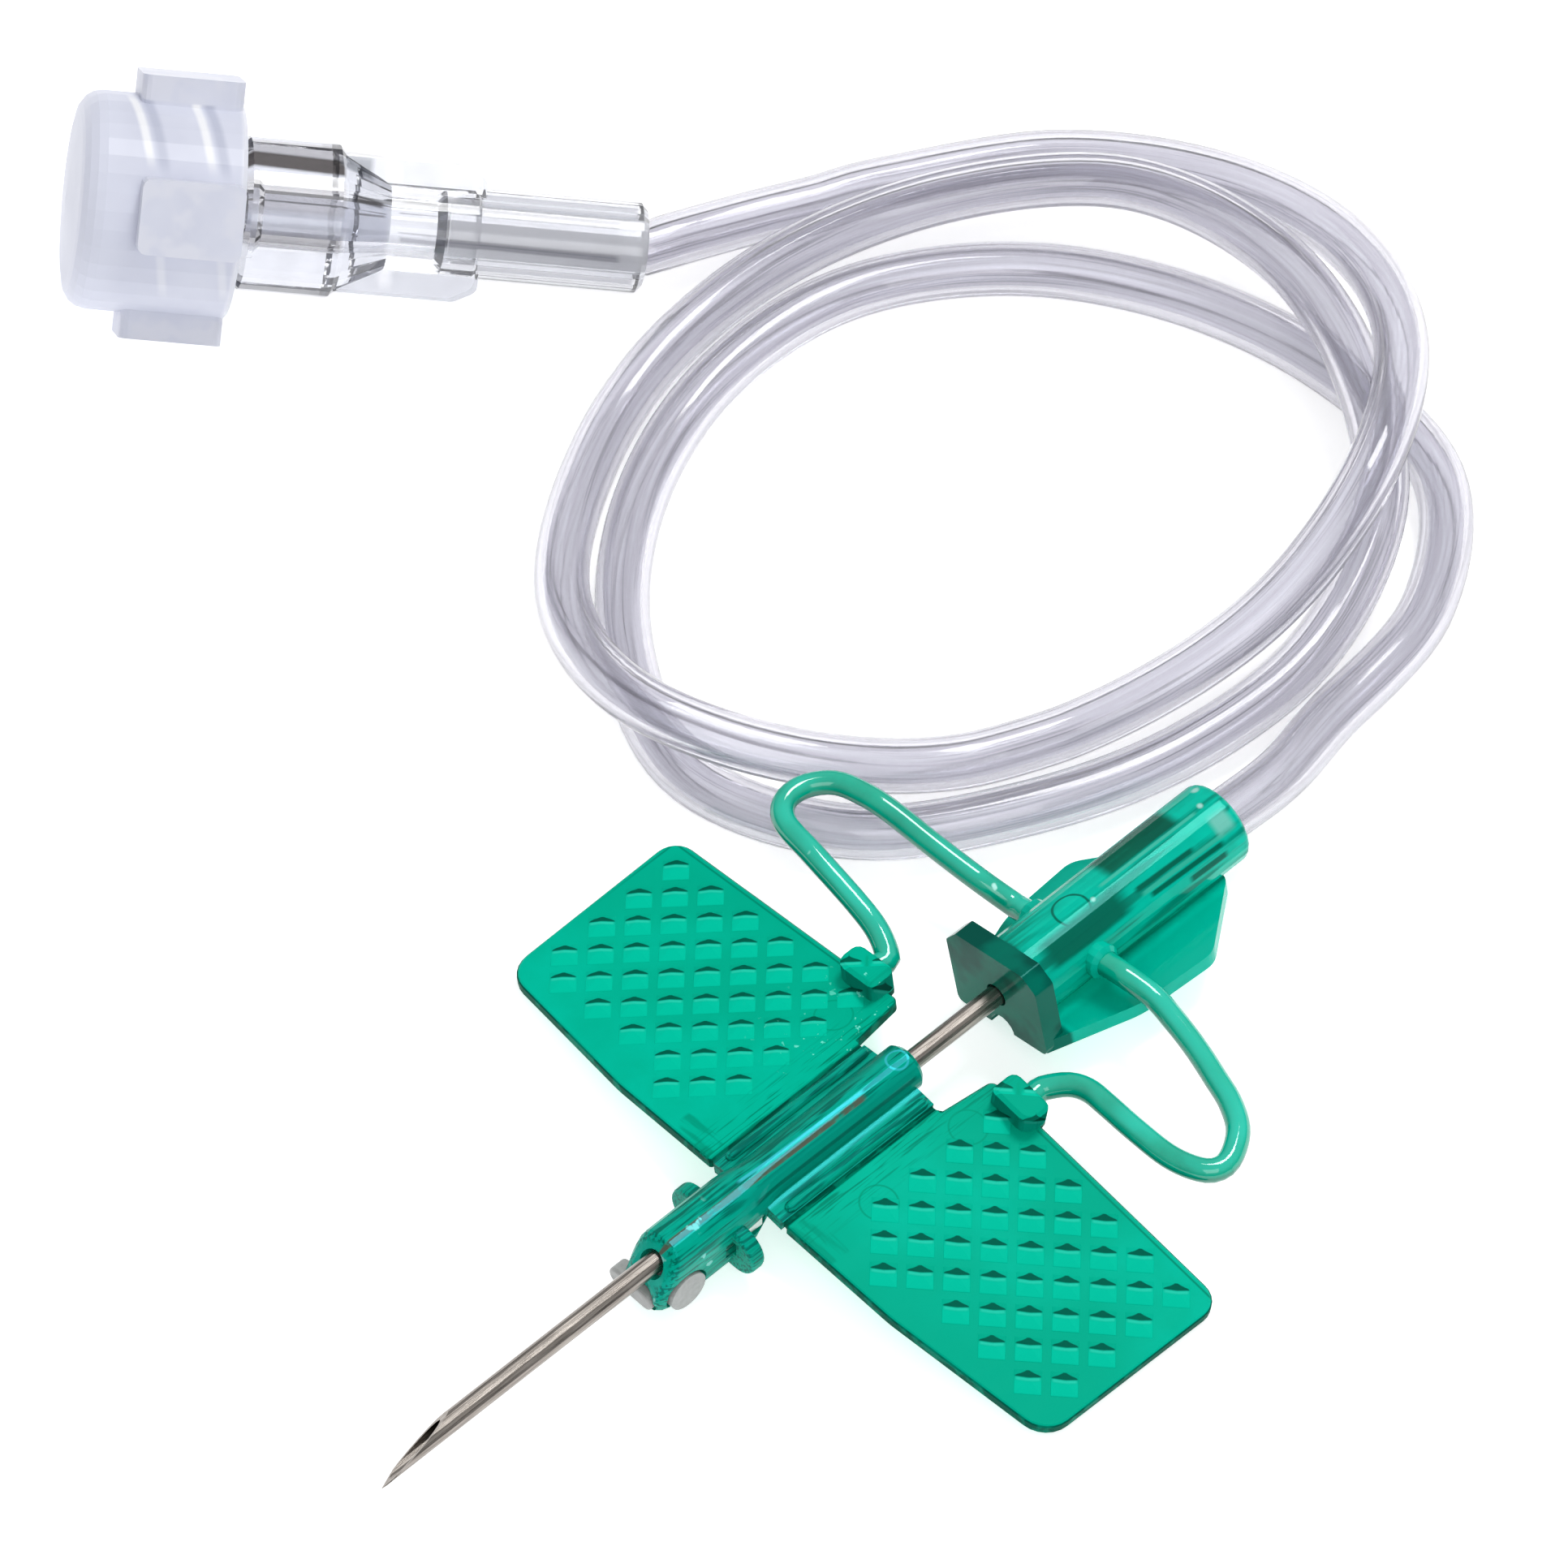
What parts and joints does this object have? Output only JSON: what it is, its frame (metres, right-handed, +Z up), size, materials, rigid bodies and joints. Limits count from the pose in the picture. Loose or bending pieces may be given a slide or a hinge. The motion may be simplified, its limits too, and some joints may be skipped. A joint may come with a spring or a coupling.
{
  "type": "butterfly needle",
  "caption": "Winged infusion needle with a slide-forward tip guard, knurled folding wings, tethered hub, coiled clear tube and a capped luer connector.",
  "frame": {"origin": "On the floor under the middle of the needle assembly (tip to hub end, and wing tip to wing tip), the tube, connector and cap left out", "axes": "The needle lies along Y with its tip toward -Y; +X is the side of the right wing; +Z is up"},
  "size_m": [0.1202, 0.1191, 0.0174],
  "materials": {
    "needle_steel": "polished steel tube",
    "spring_steel": "satin strip",
    "hub_green": "glossy, slightly see-through green",
    "wing_green": "glossy, slightly see-through blue-green",
    "tether_green": "glossy soft green",
    "shutter_grey": "plain grey",
    "clear_tube": "clear soft plastic tube",
    "clear_connector": "clear hard plastic",
    "milky_cap": "milky see-through plastic"
  },
  "bodies": {
    "hub": {"needle_hub": "hub_green", "cannula": "needle_steel", "tether_left": "tether_green", "tether_right": "tether_green", "tubing": "clear_tube", "luer_connector": "clear_connector"},
    "guard": {"guard_barrel": "wing_green", "tip_shutter": "shutter_grey", "spring_strip": "spring_steel"},
    "wing_l": {"wing_left": "wing_green"},
    "wing_r": {"wing_right": "wing_green"},
    "cap": {"luer_cap": "milky_cap"}
  },
  "joints": [
    {"name": "guard_slide", "type": "slide", "parent": "hub", "child": "guard", "axis": [0, -1, 0], "range_m": [-0.0015, 0.026], "deforming": ["tether_left", "tether_right"]},
    {"name": "wing_left_fold", "type": "hinge", "parent": "guard", "child": "wing_l", "pos_m": [-0.00344, 0.0038, 0.00416], "axis": [0, 1, 0], "range_deg": [0, 95], "stiffness_Nm_per_rad": 0.004, "deforming": ["tether_left"]},
    {"name": "wing_right_fold", "type": "hinge", "parent": "guard", "child": "wing_r", "pos_m": [0.00344, 0.0038, 0.00416], "axis": [0, -1, 0], "range_deg": [0, 95], "stiffness_Nm_per_rad": 0.004, "deforming": ["tether_right"]},
    {"name": "cap_off", "type": "slide", "parent": "hub", "child": "cap", "axis": [-0.6587, -0.7315, 0.1761], "range_m": [0, 0.012]}
  ]
}
